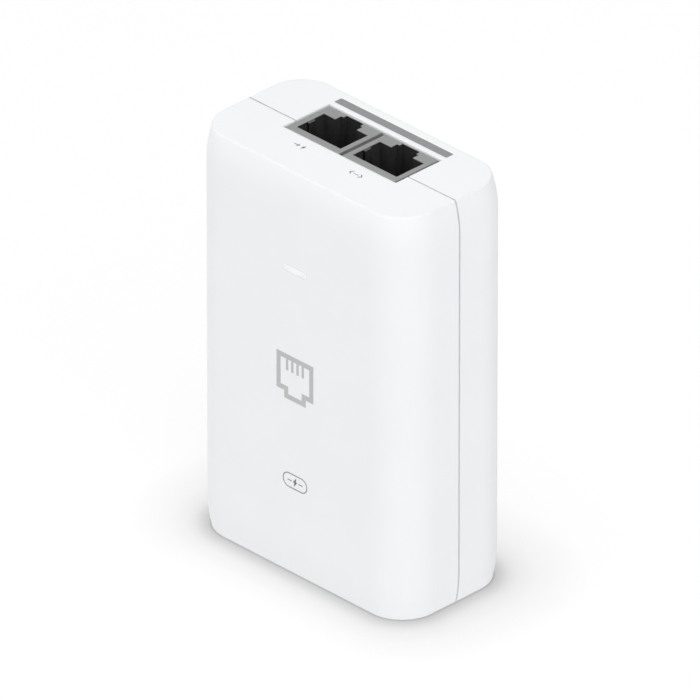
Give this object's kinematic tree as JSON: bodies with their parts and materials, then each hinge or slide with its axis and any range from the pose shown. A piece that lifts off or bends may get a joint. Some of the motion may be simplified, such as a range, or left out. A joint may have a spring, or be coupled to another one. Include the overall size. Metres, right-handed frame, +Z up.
{
  "type": "poe injector",
  "caption": "Palm-sized mains adapter that feeds power into a network cable: white two-shell casing with upward network ports, a front light bar and an inlet in its base.",
  "frame": {"origin": "centre of the base, on the surface that the casing stands on", "axes": "+Z up through the ports, -Y out of the face with the status light, X across the width"},
  "size_m": [0.0616, 0.0324, 0.0932],
  "materials": {
    "casing_white": "fine matte moulded",
    "stripe_grey": "satin",
    "light_pipe": "translucent, softly lit",
    "led_body": "gloss",
    "shield_metal": "satin nickel plate",
    "port_black": "matte",
    "contact_gold": "gold plated",
    "board_green": "solder mask",
    "screw_steel": "zinc plated",
    "inlet_black": "fine matte",
    "pin_metal": "nickel plated",
    "sheet_film": "satin film",
    "fuse_brown": "gloss",
    "dipped_blue": "dipped epoxy",
    "film_yellow": "gloss",
    "ferrite": "sintered",
    "copper_wire": "enamelled winding",
    "epoxy_black": "moulded epoxy",
    "sleeve_dark": "shrink sleeve",
    "bobbin_black": "matte",
    "tape_amber": "polyester tape",
    "sink_aluminium": "extruded",
    "opto_white": "moulded"
  },
  "bodies": {
    "root": {"front_shell": "casing_white", "rear_shell": "casing_white", "port_stripe": "stripe_grey", "light_pipe": "light_pipe", "status_led": "led_body", "poe_jack_shield": "shield_metal", "poe_jack_housing": "port_black", "poe_jack_leads": "contact_gold", "data_jack_shield": "shield_metal", "data_jack_housing": "port_black", "data_jack_leads": "contact_gold", "main_board": "board_green", "board_screws": "screw_steel", "inlet_housing": "inlet_black", "inlet_pins": "pin_metal", "insulation_sheet": "sheet_film", "fuse": "fuse_brown", "varistor": "dipped_blue", "x_capacitor": "film_yellow", "y_capacitor": "dipped_blue", "line_choke_core": "ferrite", "line_choke_windings": "copper_wire", "bridge_rectifier": "epoxy_black", "bulk_capacitor": "sleeve_dark", "transformer_core": "ferrite", "transformer_bobbin": "bobbin_black", "transformer_windings": "tape_amber", "primary_heatsink": "sink_aluminium", "switching_transistor": "epoxy_black", "output_heatsink": "sink_aluminium", "output_rectifier": "epoxy_black", "heatsink_screws": "screw_steel", "output_capacitors": "sleeve_dark", "optocoupler": "opto_white", "controller_chips": "epoxy_black", "poe_magnetics": "epoxy_black", "data_magnetics": "epoxy_black"},
    "poe_contacts": {"poe_jack_contacts": "contact_gold"},
    "data_contacts": {"data_jack_contacts": "contact_gold"}
  },
  "joints": [
    {"name": "poe_contacts_press", "type": "hinge", "parent": "root", "child": "poe_contacts", "pos_m": [-0.008, -0.00085, 0.0905], "axis": [-1, 0, 0], "range_deg": [0, 14], "stiffness_Nm_per_rad": 0.2},
    {"name": "data_contacts_press", "type": "hinge", "parent": "root", "child": "data_contacts", "pos_m": [0.008, -0.00085, 0.0905], "axis": [-1, 0, 0], "range_deg": [0, 14], "stiffness_Nm_per_rad": 0.2}
  ]
}
